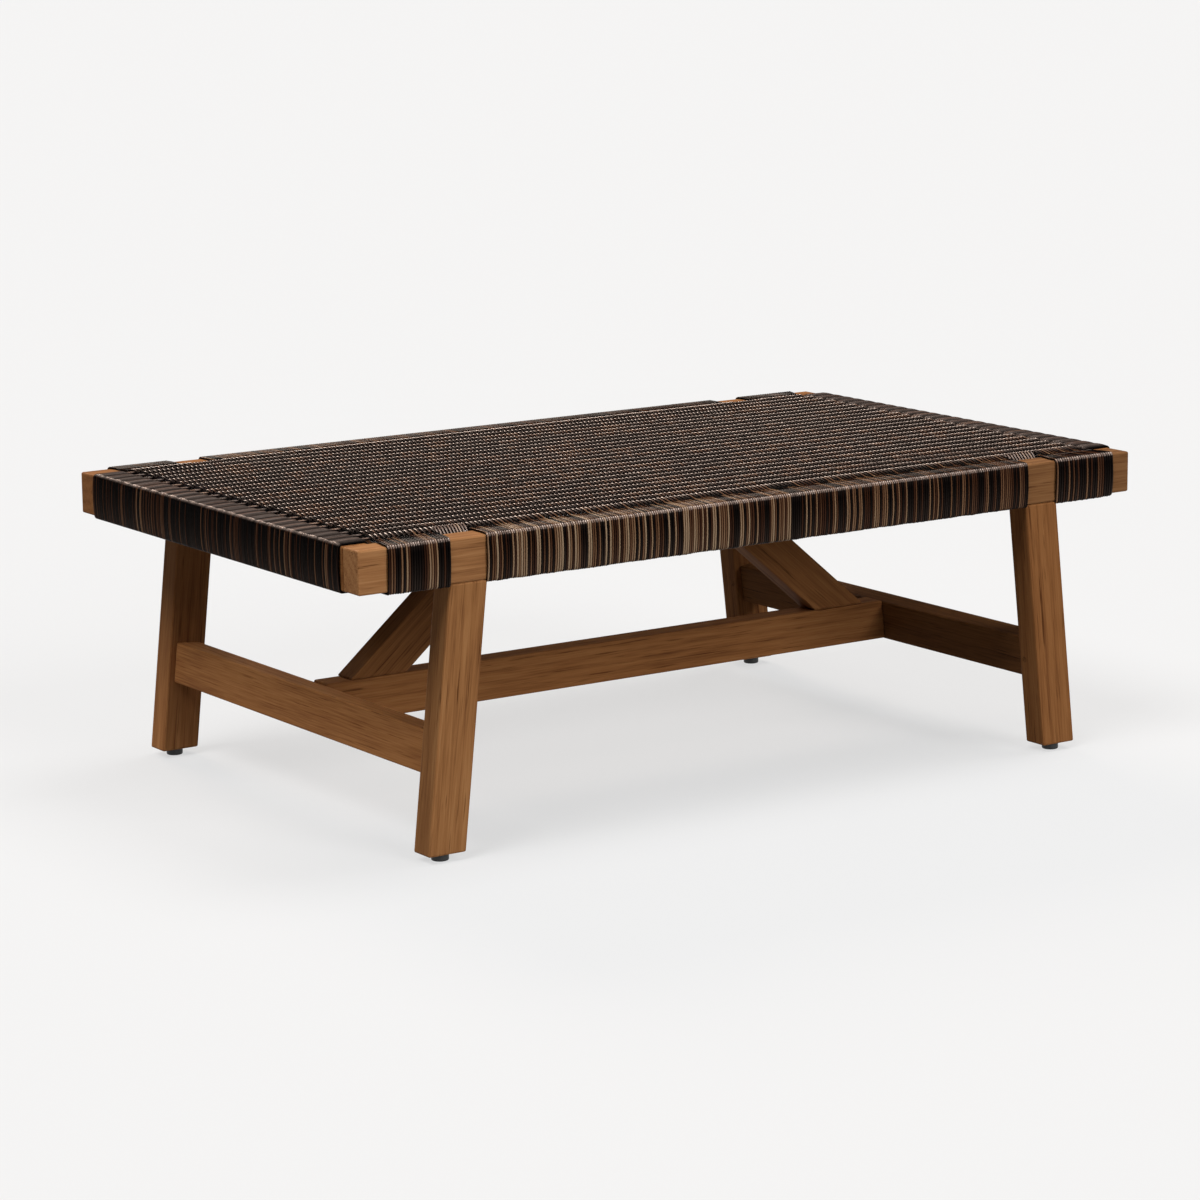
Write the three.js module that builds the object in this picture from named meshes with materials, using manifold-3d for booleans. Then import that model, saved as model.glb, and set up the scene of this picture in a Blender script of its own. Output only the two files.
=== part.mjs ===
// A long, low coffee table: a pegged teak trestle frame with a woven cord top.
// Millimetres, +Z up, +X along the table. The origin is on the floor, under the middle of the top.

import * as THREE from 'three';
import { RoundedBoxGeometry } from 'three/addons/geometries/RoundedBoxGeometry.js';
import { mergeVertices } from 'three/addons/utils/BufferGeometryUtils.js';
import Module from 'manifold-3d';

const wasm = await Module();
wasm.setup();

// Overall sizes of the timber frame
const tableLength = 1264;
const tableWidth = 750;
const railTop = 416;

// Boards
const railHeight = 57;
const railThickness = 38;
const legWidth = 56;
const legThickness = 38;
const legInset = 133;
const legSplay = 38.5;
const stretcherHeight = 57;
const stretcherThickness = 38;
const stretcherUnderside = 106.5;
const braceWidth = 57;
const braceThickness = 38;
const braceSetback = 35.5;
const braceAngle = THREE.MathUtils.degToRad(40);
const bearerHeight = 38;
const beamWidth = 57;
const beamHeight = 38;
const woodEase = 2.5;

// Joinery
const jointGap = 0.3;
const tenonThickness = 12;
const railTenonHeight = 35;
const railTenonDepth = 20;
const stretcherTenonHeight = 35;
const stretcherTenonDepth = 20;
const longTenonDepth = 15;
const legTenonWidth = 36;
const legTenonDepth = 25;
const bearerTenonWidth = 36;
const bearerTenonDepth = 10;
const beamTenonDepth = 15;
const braceTenonWidth = 36;
const braceTenonDepth = 12;
const pegDiameter = 8;
const railPegLength = 38;
const legPegLength = 40;

// Woven top and edge wraps
const strandDiameter = 3.3;
const rowCount = 25;
const rowMargin = 20.8;
const crestRise = 3.6;
const leftCornerBare = 42;
const rightCornerBare = 32;
const wrapEndGap = 1;
const fieldInset = 51;
const stitchPitch = 5;
const stitchDrop = 16;

// Levelling feet
const footDiameter = 23;
const footTopDiameter = 21;
const footHeight = 10;
const footRound = 2;
const stemDiameter = 8;
const stemReach = 24;
const stemSeat = 6;
const insertDiameter = 11;
const insertFlangeDiameter = 17;
const insertFlangeThickness = 1.6;
const insertLength = 16;
const insertBoreGap = 0.2;
const boreOvertravel = 12;

// Facets and overrun
const easeSteps = 1;
const wrapSteps = 3;
const rowSteps = 6;
const footSides = 24;
const pegSides = 12;
const cordSides = 6;
const overrun = 1;

// Places worked out from the sizes above
const half = (length) => length / 2;
const railBottom = railTop - railHeight;
const railZ = railTop - half(railHeight);
const legDrop = railBottom - footHeight;
const splaySlope = legSplay / legDrop;
const tilt = Math.atan(splaySlope);
const legTopX = half(tableLength) - legInset - half(legWidth);
const railY = half(tableWidth) - half(railThickness);
const railInnerY = half(tableWidth) - railThickness;
const endRailX = half(tableLength) - half(railThickness);
const endRailInnerX = half(tableLength) - railThickness;
const legY = half(tableWidth) - half(legThickness);
const legInnerY = half(tableWidth) - legThickness;
const stretcherZ = stretcherUnderside + half(stretcherHeight);
const stretcherTop = stretcherUnderside + stretcherHeight;
const legCentreX = (z) => legTopX + splaySlope * (railBottom - z);
const stretcherX = legCentreX(stretcherZ);
const footX = legCentreX(footHeight);
const bearerWidth = legWidth;
const bearerZ = railBottom + half(bearerHeight);
const bearerTop = railBottom + bearerHeight;
const beamZ = railBottom + half(beamHeight);
const strandRadius = half(strandDiameter);
const weaveLevel = railTop + strandRadius;
const rowPitch = (2 * (railInnerY - rowMargin)) / (rowCount - 1);
const rowY = (row) => (row - half(rowCount - 1)) * rowPitch;
const lastRowY = rowY(rowCount - 1);

const teak = new THREE.MeshStandardMaterial({ color: 0x8a6242, roughness: 0.55, metalness: 0 });
const teakPeg = new THREE.MeshStandardMaterial({ color: 0x6f4a2e, roughness: 0.6, metalness: 0 });
const cord = new THREE.MeshStandardMaterial({ color: 0x2f2621, roughness: 0.4, metalness: 0 });
const blackPlastic = new THREE.MeshStandardMaterial({ color: 0x161616, roughness: 0.5, metalness: 0 });
const steel = new THREE.MeshStandardMaterial({ color: 0xb4b6b8, roughness: 0.3, metalness: 1 });
const brass = new THREE.MeshStandardMaterial({ color: 0xb08d4a, roughness: 0.35, metalness: 1 });

// A closed three.js geometry as a solid that can be joined and cut
function solid(geometry) {
  const bare = geometry.clone();
  for (const name of Object.keys(bare.attributes)) {
    if (name !== 'position') bare.deleteAttribute(name);
  }
  const merged = mergeVertices(bare);
  const vertProperties = new Float32Array(merged.attributes.position.array);
  const triVerts = new Uint32Array(merged.index.array);
  return new wasm.Manifold(new wasm.Mesh({ numProp: 3, vertProperties, triVerts }));
}

function geometryOf(body) {
  const { numProp, vertProperties, triVerts } = body.getMesh();
  const positions = new Float32Array((vertProperties.length / numProp) * 3);
  for (let i = 0; i < positions.length / 3; i += 1) {
    positions.set(vertProperties.subarray(i * numProp, i * numProp + 3), i * 3);
  }
  const geometry = new THREE.BufferGeometry();
  geometry.setAttribute('position', new THREE.BufferAttribute(positions, 3));
  geometry.setIndex(new THREE.BufferAttribute(new Uint32Array(triVerts), 1));
  const flat = geometry.toNonIndexed();
  flat.computeVertexNormals();
  return flat;
}

function joined(bodies) {
  return bodies.reduce((whole, body) => whole.add(body));
}

function cut(body, tools) {
  return tools.reduce((rest, tool) => rest.subtract(tool), body);
}

// Axis names for shapes that are drawn flat and then laid along a direction
const axes = {
  x: [new THREE.Vector3(0, 1, 0), new THREE.Vector3(0, 0, 1), new THREE.Vector3(1, 0, 0)],
  y: [new THREE.Vector3(-1, 0, 0), new THREE.Vector3(0, 0, 1), new THREE.Vector3(0, 1, 0)],
  z: [new THREE.Vector3(1, 0, 0), new THREE.Vector3(0, 1, 0), new THREE.Vector3(0, 0, 1)],
};

function extruded(shape, length, axis, curveSegments) {
  const geometry = new THREE.ExtrudeGeometry(shape, { depth: length, bevelEnabled: false, curveSegments });
  geometry.translate(0, 0, -half(length));
  return geometry.applyMatrix4(new THREE.Matrix4().makeBasis(...axes[axis]));
}

function rod(diameter, length, axis, sides) {
  const geometry = new THREE.CylinderGeometry(half(diameter), half(diameter), length, sides);
  geometry.rotateX(Math.PI / 2);
  return geometry.applyMatrix4(new THREE.Matrix4().makeBasis(...axes[axis]));
}

function turned(profile, sides) {
  const points = profile.map(([radius, height]) => new THREE.Vector2(radius, height));
  const geometry = new THREE.LatheGeometry(points, sides);
  return geometry.rotateX(Math.PI / 2);
}

// A board with softened edges, centred on its own origin
function board(alongX, alongY, alongZ) {
  return new RoundedBoxGeometry(alongX, alongY, alongZ, easeSteps, woodEase);
}

function block(alongX, alongY, alongZ) {
  return new THREE.BoxGeometry(alongX, alongY, alongZ);
}

// A tenon's block as it is (gap 0), or its mortise (grown by the gap all round)
function tenonBlock(alongX, alongY, alongZ, gap) {
  return block(alongX + 2 * gap, alongY + 2 * gap, alongZ + 2 * gap);
}

function leaning(geometry, slope) {
  return geometry.applyMatrix4(new THREE.Matrix4().makeShear(0, 0, 0, 0, slope, 0));
}

const group = new THREE.Group();

function place(name, body, material, x, y, z, tiltY = 0) {
  const geometry = body.isBufferGeometry ? body : geometryOf(body);
  const mesh = new THREE.Mesh(geometry, material);
  mesh.name = name;
  mesh.position.set(x, y, z);
  mesh.rotation.y = tiltY;
  group.add(mesh);
  return mesh;
}

const ends = [
  { side: -1, name: 'left', bare: leftCornerBare },
  { side: 1, name: 'right', bare: rightCornerBare },
];
const faces = [{ face: -1, name: 'front' }, { face: 1, name: 'back' }];

// Tenons, each at the place where it leaves its shoulder, in the frame of the board that carries it

// Upright tenon on a leg's top, and its mortise in the long rail's underside
function legTenon(gap) {
  return tenonBlock(legTenonWidth, tenonThickness, legTenonDepth + overrun, gap)
    .translate(0, 0, half(legTenonDepth - overrun));
}

// Level tenon on an end rail, along Y
function railTenon(face, gap) {
  return tenonBlock(tenonThickness, railTenonDepth + overrun, railTenonHeight, gap)
    .translate(0, face * half(railTenonDepth - overrun), 0);
}

function bearerTenon(face, gap) {
  return tenonBlock(bearerTenonWidth, bearerTenonDepth + overrun, tenonThickness, gap)
    .translate(0, face * half(bearerTenonDepth - overrun), 0);
}

function beamTenon(side, gap) {
  return tenonBlock(beamTenonDepth + overrun, half(beamWidth), tenonThickness, gap)
    .translate(side * half(beamTenonDepth - overrun), 0, 0);
}

function stretcherTenon(face, gap) {
  return tenonBlock(tenonThickness, stretcherTenonDepth + overrun, stretcherTenonHeight, gap)
    .translate(0, face * half(stretcherTenonDepth - overrun), 0);
}

function longTenon(side, gap) {
  return tenonBlock(longTenonDepth + overrun + stretcherThickness, tenonThickness, stretcherTenonHeight, gap)
    .translate(side * half(longTenonDepth - overrun - stretcherThickness), 0, 0);
}

function braceTenon(up, gap) {
  return tenonBlock(braceTenonWidth, tenonThickness, braceTenonDepth + overrun, gap)
    .translate(0, 0, up * half(braceTenonDepth - overrun));
}

// Top frame: two long rails, two end rails, two cross bearers and a centre beam

const endRailPegY = railInnerY + half(railTenonDepth);

function longRail({ face, name }) {
  const cuts = [];
  for (const { side } of ends) {
    const inner = face * (railInnerY - railY);
    cuts.push(solid(legTenon(jointGap).translate(side * legTopX, 0, railBottom - railZ)));
    cuts.push(solid(railTenon(face, jointGap).translate(side * endRailX, inner, 0)));
    cuts.push(solid(bearerTenon(face, jointGap).translate(side * legTopX, inner, bearerZ - railZ)));
    cuts.push(solid(rod(pegDiameter + 2 * jointGap, railPegLength + overrun, 'z', pegSides)
      .translate(side * endRailX, face * (endRailPegY - railY), half(railPegLength - overrun) - half(railHeight))));
  }
  const body = cut(solid(board(tableLength, railThickness, railHeight)), cuts);
  place(`rail_${name}`, body, teak, 0, face * railY, railZ);
}

function endRail({ side, name }) {
  const length = 2 * (railInnerY - jointGap);
  const parts = [solid(board(railThickness, length, railHeight))];
  const cuts = [];
  for (const { face } of faces) {
    parts.push(solid(railTenon(face, 0).translate(0, face * railInnerY, 0)));
    cuts.push(solid(rod(pegDiameter + 2 * jointGap, railPegLength + overrun, 'z', pegSides)
      .translate(0, face * endRailPegY, half(railPegLength - overrun) - half(railHeight))));
  }
  place(`rail_${name}`, cut(joined(parts), cuts), teak, side * endRailX, 0, railZ);
}

function railPeg({ side, name: sideName }, { face, name: faceName }) {
  const body = rod(pegDiameter, railPegLength, 'z', pegSides);
  const z = railBottom + half(railPegLength);
  place(`rail_peg_${faceName}_${sideName}`, body, teakPeg, side * endRailX, face * endRailPegY, z);
}

function crossBearer({ side, name }) {
  const length = 2 * (railInnerY - jointGap);
  const parts = [solid(board(bearerWidth, length, bearerHeight))];
  for (const { face } of faces) {
    parts.push(solid(bearerTenon(face, 0).translate(0, face * railInnerY, 0)));
  }
  const socket = beamTenon(side, jointGap).translate(-side * half(bearerWidth), 0, beamZ - bearerZ);
  place(`cross_bearer_${name}`, cut(joined(parts), [solid(socket)]), teak, side * legTopX, 0, bearerZ);
}

const braceRise = railBottom - stretcherTop;
const braceFaceWidth = braceWidth / Math.sin(braceAngle);
const longEndTop = legCentreX(stretcherTop) - half(stretcherThickness) / Math.cos(tilt);
const braceFootX = longEndTop - braceSetback - half(braceFaceWidth);
const braceTopX = braceFootX - braceRise / Math.tan(braceAngle);

function centreBeam() {
  const length = 2 * (legTopX - half(bearerWidth) - jointGap);
  const parts = [solid(board(length, beamWidth, beamHeight))];
  const cuts = [];
  for (const { side } of ends) {
    parts.push(solid(beamTenon(side, 0).translate(side * (legTopX - half(bearerWidth)), 0, 0)));
    cuts.push(solid(braceTenon(1, jointGap).translate(side * braceTopX, 0, -half(beamHeight))));
  }
  place('centre_beam', cut(joined(parts), cuts), teak, 0, 0, beamZ);
}

// Trestles: splayed legs, a stretcher that leans with them, and the pegs through its tenons

const stretcherPegInset = half(legThickness) - half(stretcherTenonDepth);

function leg({ side, name: sideName }, { face, name: faceName }) {
  const shaft = leaning(board(legWidth, legThickness, legDrop - jointGap), -side * splaySlope)
    .translate(side * half(legSplay), 0, -half(legDrop) - half(jointGap));
  const dropToStretcher = stretcherZ - railBottom;
  const atStretcher = side * (stretcherX - legTopX);
  const socket = stretcherTenon(face, jointGap).translate(0, -face * half(legThickness), 0);
  socket.rotateY(-side * tilt).translate(atStretcher, 0, dropToStretcher);
  const pegHole = rod(pegDiameter + 2 * jointGap, legPegLength + overrun, 'x', pegSides);
  pegHole.translate(side * half(legPegLength - overrun - legWidth), -face * stretcherPegInset, 0);
  pegHole.rotateY(-side * tilt).translate(atStretcher, 0, dropToStretcher);
  const cuts = [solid(socket), solid(pegHole)];
  for (const hole of footHoles()) {
    cuts.push(solid(hole.translate(side * (footX - legTopX), 0, -legDrop)));
  }
  const body = cut(joined([solid(shaft), solid(legTenon(0))]), cuts);
  place(`leg_${faceName}_${sideName}`, body, teak, side * legTopX, face * legY, railBottom);
}

function endStretcher({ side, name }) {
  const length = 2 * (legInnerY - jointGap);
  const parts = [solid(board(stretcherThickness, length, stretcherHeight))];
  const cuts = [];
  for (const { face } of faces) {
    parts.push(solid(stretcherTenon(face, 0).translate(0, face * legInnerY, 0)));
    cuts.push(solid(rod(pegDiameter + 2 * jointGap, stretcherThickness, 'x', pegSides)
      .translate(0, face * (legY - stretcherPegInset), 0)));
  }
  cuts.push(solid(longTenon(side, jointGap).translate(-side * half(stretcherThickness), 0, 0)));
  const body = cut(joined(parts), cuts);
  place(`stretcher_${name}`, body, teak, side * stretcherX, 0, stretcherZ, -side * tilt);
}

function stretcherPeg({ side, name: sideName }, { face, name: faceName }) {
  const body = rod(pegDiameter, legPegLength, 'x', pegSides);
  body.translate(side * half(legPegLength - legWidth), 0, 0);
  const y = face * (legY - stretcherPegInset);
  place(`stretcher_peg_${faceName}_${sideName}`, body, teakPeg, side * stretcherX, y, stretcherZ, -side * tilt);
}

// The long stretcher's ends are cut on the slope of the end stretchers that it meets
function longStretcher() {
  const reach = stretcherX - (half(stretcherThickness) + jointGap) / Math.cos(tilt);
  const bar = board(2 * reach, stretcherThickness, stretcherHeight);
  const spots = bar.attributes.position;
  for (let i = 0; i < spots.count; i += 1) {
    spots.setX(i, spots.getX(i) - Math.sign(spots.getX(i)) * splaySlope * spots.getZ(i));
  }
  const parts = [solid(bar)];
  const cuts = [];
  for (const { side } of ends) {
    const tongue = longTenon(side, 0).translate(-side * half(stretcherThickness), 0, 0);
    parts.push(solid(tongue.rotateY(-side * tilt).translate(side * stretcherX, 0, 0)));
    cuts.push(solid(braceTenon(-1, jointGap).translate(side * braceFootX, 0, half(stretcherHeight))));
  }
  place('stretcher_long', cut(joined(parts), cuts), teak, 0, 0, stretcherZ);
}

function brace({ side, name }) {
  const height = braceRise - 2 * jointGap;
  const middleX = half(braceFootX + braceTopX);
  const bar = leaning(board(braceFaceWidth, braceThickness, height), -side / Math.tan(braceAngle));
  const footTenon = braceTenon(-1, 0).translate(side * (braceFootX - middleX), 0, -half(braceRise));
  const topTenon = braceTenon(1, 0).translate(side * (braceTopX - middleX), 0, half(braceRise));
  const body = joined([solid(bar), solid(footTenon), solid(topTenon)]);
  place(`brace_${name}`, body, teak, side * middleX, 0, stretcherTop + half(braceRise));
}

// Levelling feet: a moulded pad on a threaded stem that turns in an insert in the leg's end

function footHoles() {
  const flangeHole = rod(insertFlangeDiameter + 2 * jointGap, 2 * (insertFlangeThickness + jointGap), 'z', footSides);
  const insertHole = rod(insertDiameter + 2 * jointGap, 2 * (insertLength + jointGap), 'z', footSides);
  const stemHole = rod(stemDiameter + 2 * jointGap, 2 * (stemReach + boreOvertravel), 'z', pegSides);
  return [flangeHole, insertHole, stemHole];
}

function foot({ side, name: sideName }, { face, name: faceName }) {
  const x = side * footX;
  const y = face * legY;
  const top = footHeight - jointGap;
  const seat = half(stemDiameter) + jointGap;
  const pad = turned([
    [0, 0],
    [half(footDiameter) - footRound, 0],
    [half(footDiameter) - footRound * (1 - Math.SQRT1_2), footRound * (1 - Math.SQRT1_2)],
    [half(footDiameter), footRound],
    [half(footTopDiameter), top - overrun],
    [half(footTopDiameter) - overrun, top],
    [seat, top],
    [seat, top - stemSeat],
    [0, top - stemSeat],
  ], footSides);
  place(`foot_pad_${faceName}_${sideName}`, solid(pad), blackPlastic, x, y, 0);

  const stemLow = top - stemSeat + jointGap;
  const stemHigh = footHeight + stemReach;
  const stem = turned([
    [0, 0],
    [half(stemDiameter), 0],
    [half(stemDiameter), stemHigh - stemLow - overrun],
    [half(stemDiameter) - overrun, stemHigh - stemLow],
    [0, stemHigh - stemLow],
  ], pegSides);
  place(`foot_stem_${faceName}_${sideName}`, solid(stem), steel, x, y, stemLow);

  const bore = half(stemDiameter) + insertBoreGap;
  const flange = insertFlangeThickness;
  const insert = turned([
    [bore, 0],
    [half(insertFlangeDiameter), 0],
    [half(insertFlangeDiameter), flange],
    [half(insertDiameter), flange],
    [half(insertDiameter), insertLength],
    [bore, insertLength],
    [bore, 0],
  ], footSides);
  place(`foot_insert_${faceName}_${sideName}`, solid(insert), brass, x, y, footHeight);
}

// Edge wraps: strands laid side by side around a rail. Each is drawn as the sleeve that they make,
// round at the corners that the strands turn and square at the one where they run on into the weave.

function sleeveShape(thickness, height, squareSide) {
  const out = half(thickness) + strandDiameter;
  const up = half(height) + strandDiameter;
  const round = woodEase + strandDiameter;
  const shape = new THREE.Shape();
  shape.moveTo(squareSide * out, up);
  shape.lineTo(-squareSide * (out - round), up);
  shape.quadraticCurveTo(-squareSide * out, up, -squareSide * out, up - round);
  shape.lineTo(-squareSide * out, round - up);
  shape.quadraticCurveTo(-squareSide * out, -up, -squareSide * (out - round), -up);
  shape.lineTo(squareSide * (out - round), -up);
  shape.quadraticCurveTo(squareSide * out, -up, squareSide * out, round - up);
  shape.closePath();
  const across = half(thickness) + jointGap;
  const tall = half(height) + jointGap;
  const hole = new THREE.Path();
  hole.moveTo(-across, -tall);
  hole.lineTo(across, -tall);
  hole.lineTo(across, tall);
  hole.lineTo(-across, tall);
  hole.closePath();
  shape.holes.push(hole);
  return shape;
}

const legTopOuterX = legTopX + half(legWidth);
const legTopInnerX = legTopX - half(legWidth);
const cornerWrapStart = legTopOuterX + wrapEndGap;
const middleWrapEnd = legTopInnerX - wrapEndGap;
const weaveEdgeY = railInnerY - strandDiameter;

// The end rail's own space, which the strands beside it lie over and under but can't pass through
function endRailSpace(side) {
  return block(railThickness + 2 * jointGap, 2 * railInnerY, railHeight + 2 * jointGap)
    .translate(side * endRailX, 0, 0);
}

function longRailWraps({ face, name }) {
  const shape = sleeveShape(railThickness, railHeight, -face);
  const middle = extruded(shape, 2 * middleWrapEnd, 'x', wrapSteps);
  place(`wrap_${name}_middle`, solid(middle), cord, 0, face * railY, railZ);
  for (const { side, name: sideName, bare } of ends) {
    const cornerWrapEnd = half(tableLength) - bare;
    const corner = extruded(shape, cornerWrapEnd - cornerWrapStart, 'x', wrapSteps);
    const x = side * half(cornerWrapStart + cornerWrapEnd);
    const body = cut(solid(corner), [solid(endRailSpace(side).translate(-x, -face * railY, 0))]);
    place(`wrap_${name}_${sideName}`, body, cord, x, face * railY, railZ);
  }
}

function endRailWrap({ side, name }) {
  const shape = sleeveShape(railThickness, railHeight, side);
  const sleeve = extruded(shape, 2 * (weaveEdgeY - jointGap), 'y', wrapSteps);
  place(`wrap_${name}`, solid(sleeve), cord, side * endRailX, 0, railZ);
}

// The woven field: pairs of strands along X, each lifted into a row by the cross strands that pass
// over and under it. Its ends run over to the wraps of the end rails.

function fieldSection() {
  const top = [];
  const bottom = [];
  const steps = rowCount * rowSteps;
  for (let i = 0; i <= steps; i += 1) {
    const y = rowY(0) - half(rowPitch) + (rowPitch * i) / rowSteps;
    const rise = crestRise * half(1 - Math.cos((2 * Math.PI * i) / rowSteps));
    if (Math.abs(y) <= lastRowY + rowPitch / rowSteps) {
      top.push(new THREE.Vector2(y, strandRadius + rise));
      bottom.unshift(new THREE.Vector2(y, -strandRadius - rise));
    }
  }
  const edge = weaveEdgeY - jointGap;
  top.unshift(new THREE.Vector2(-edge, strandRadius));
  top.push(new THREE.Vector2(edge, strandRadius));
  bottom.unshift(new THREE.Vector2(edge, -strandRadius));
  bottom.push(new THREE.Vector2(-edge, -strandRadius));
  return new THREE.Shape([...top, ...bottom]);
}

// Beside a bare stretch of rail a strand slopes from the crest of the last row to the rail's inner
// face, and goes down behind the rail to the cross bearer
function stitch(face, x) {
  const endY = railInnerY - jointGap - strandRadius;
  const run = endY - lastRowY;
  const slope = rod(strandDiameter, Math.hypot(run, stitchDrop), 'y', cordSides);
  slope.rotateX(-face * Math.atan2(stitchDrop, run));
  slope.translate(x, face * (lastRowY + half(run)), crestRise - half(stitchDrop));
  const tailTop = crestRise - stitchDrop + strandRadius;
  const tailBottom = bearerTop + jointGap - weaveLevel;
  const tail = rod(strandDiameter, tailTop - tailBottom, 'z', cordSides);
  tail.translate(x, face * endY, half(tailTop + tailBottom));
  return solid(slope).add(solid(tail));
}

function wovenTop() {
  const fieldEnd = half(tableLength) - fieldInset;
  const stubEnd = endRailInnerX - strandDiameter - jointGap;
  const parts = [solid(extruded(fieldSection(), 2 * fieldEnd, 'x', 1))];
  for (let row = 0; row < rowCount; row += 1) {
    for (const { side } of ends) {
      const pair = rod(strandDiameter, stubEnd - fieldEnd + overrun, 'x', cordSides);
      pair.scale(1, 2, 1);
      pair.translate(side * half(stubEnd + fieldEnd - overrun), rowY(row), 0);
      parts.push(solid(pair));
    }
  }
  const notchWidth = legTopOuterX - legTopInnerX + 2 * wrapEndGap;
  const notchStart = lastRowY + 2 * strandDiameter;
  const stitchCount = Math.floor((legWidth - strandDiameter) / stitchPitch);
  const notches = [];
  const stitches = [];
  for (const { side } of ends) {
    for (const { face } of faces) {
      const notch = block(notchWidth, 2 * (weaveEdgeY - notchStart), 2 * (strandDiameter + crestRise));
      notches.push(solid(notch.translate(side * legTopX, face * weaveEdgeY, 0)));
      for (let i = 0; i < stitchCount; i += 1) {
        stitches.push(stitch(face, side * legTopX + (i - half(stitchCount - 1)) * stitchPitch));
      }
    }
  }
  const field = cut(joined(parts), notches);
  place('woven_top', joined([field, ...stitches]), cord, 0, 0, weaveLevel);
}

for (const face of faces) {
  longRail(face);
  longRailWraps(face);
}
for (const side of ends) {
  endRail(side);
  endRailWrap(side);
  crossBearer(side);
  endStretcher(side);
  brace(side);
  for (const face of faces) {
    leg(side, face);
    railPeg(side, face);
    stretcherPeg(side, face);
    foot(side, face);
  }
}
centreBeam();
longStretcher();
wovenTop();

export default group;
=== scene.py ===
import math

import bpy
import numpy as np
from mathutils import Matrix, Vector


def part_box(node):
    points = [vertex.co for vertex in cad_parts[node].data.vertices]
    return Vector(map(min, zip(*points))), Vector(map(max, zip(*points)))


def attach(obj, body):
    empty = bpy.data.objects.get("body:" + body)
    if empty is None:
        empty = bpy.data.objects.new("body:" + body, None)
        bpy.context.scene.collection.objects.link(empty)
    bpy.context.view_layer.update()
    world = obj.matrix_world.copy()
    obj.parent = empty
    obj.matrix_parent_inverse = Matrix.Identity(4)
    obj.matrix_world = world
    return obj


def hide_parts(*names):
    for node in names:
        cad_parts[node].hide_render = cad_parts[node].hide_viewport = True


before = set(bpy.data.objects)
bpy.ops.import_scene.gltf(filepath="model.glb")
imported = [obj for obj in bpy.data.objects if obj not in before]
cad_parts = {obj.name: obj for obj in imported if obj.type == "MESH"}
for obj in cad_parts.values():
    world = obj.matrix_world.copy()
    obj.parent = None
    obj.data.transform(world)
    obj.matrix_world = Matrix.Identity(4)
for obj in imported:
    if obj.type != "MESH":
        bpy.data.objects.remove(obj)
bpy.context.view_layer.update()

# A low teak coffee table with a woven cord top. Lengths are metres and angles are radians
# unless a name says otherwise. Left is -X, right is +X, front is -Y and back is +Y.
# A reach counts how many neighbours, or over what length, a random value changes gently.

random = np.random.default_rng(7)
spare_knots = 4

# Camera, fitted to the edges of the table in the photograph
camera_place = Vector((-3.0114, -4.4053, 1.2897))
camera_yaw = 0.5969
camera_pitch = 0.1981
camera_roll = -0.0097
camera_lens_mm = 115.86
camera_sensor_mm = 36

# Floor and backdrop. The glow is what the camera sees of the floor besides its lit surface
backdrop_grey = 0.868
floor_grey = 0.22
floor_glow = 0.604
floor_size = 160

# Sky. The first two light the table. The ceiling is what gloss shows above the backdrop
sky_top = 0.16
sky_horizon = 0.0
ceiling_grey = 0.06
ceiling_starts = 0.03
ceiling_ends = 0.2

# Lamps: strength, spread, and the direction that the light comes from
lamps = {
    "back": (1.3, math.radians(20), Vector((0.12, 0.82, 0.5))),
    "overhead": (1.2, math.radians(30), Vector((0.42, 0.05, 0.9))),
    "key": (1.85, math.radians(32), Vector((0.16, -0.86, 0.43))),
    "left": (1.9, math.radians(30), Vector((-0.52, -0.12, 0.84))),
}
lamp_colours = {"back": (1.0, 0.84, 0.72)}
lamp_white = (1.0, 1.0, 1.0)

# Most values of a noise lie in this span
noise_span = (0.3, 0.7)

# Teak. The scales stretch a noise along the grain, across it and through the board
teak_stops = (
    (0.24, (0.160, 0.060, 0.020)),
    (0.50, (0.250, 0.102, 0.034)),
    (0.80, (0.318, 0.140, 0.050)),
)
teak_roughness = (0.52, 0.64)
teak_gloss = 0.03
teak_bump = 0.00012
teak_bump_strength = 0.7
log_span = (2.0, 9.0)
pith_aside = 0.055
pith_aside_step = 0.05
pith_aside_steps = 3
pith_below = 0.03
pith_below_step = 0.02
pith_below_steps = 5
ring_pitch = 0.0065
ring_bend = 4.2
ring_tone = 0.18
bend_scales = (2.2, 16.0, 16.0)
blotch_scales = (5.0, 34.0, 34.0)
blotch_detail = 3.0
blotch_tone = 0.62
fibre_scales = (14.0, 520.0, 520.0)
fibre_detail = 3.0
fibre_roughness = 0.6
fibre_tone = 0.9
fibre_relief = 0.35
base_tone = -0.34
pore_colour = (0.40, 0.34, 0.30)
pore_scales = (13.0, 400.0, 400.0)
pore_roughness = 0.55
pore_edge = (0.60, 0.68)
crowd_scales = (7.0, 90.0, 90.0)
crowd_edge = (0.42, 0.62)
crowd_least = 0.25

# Tints of the boards, as one number or one for each of red, green and blue, and how much
# lighter the board gets with each metre along it. Besides the teak's own colour, these paint
# light and shade where the boards fall in light or shade: lighter or darker boards, and boards
# that darken along their length as painted light falloff. The other boards get a random tint
board_tints_and_painted_light = {
    "rail_front": ((1.04, 1.16, 1.34), -0.42),
    "leg_front_left": ((1.2, 1.3, 1.4), 0.0),
    "leg_back_left": ((1.45, 1.5, 1.6), -1.6),
    "stretcher_left": ((1.6, 1.65, 1.7), 0.0),
    "stretcher_right": (0.62, 0.0),
    "brace_left": (0.78, 0.0),
}
tint_span = (0.92, 1.08)
peg_tint = 0.7
brace_rise = math.radians(40)
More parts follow.
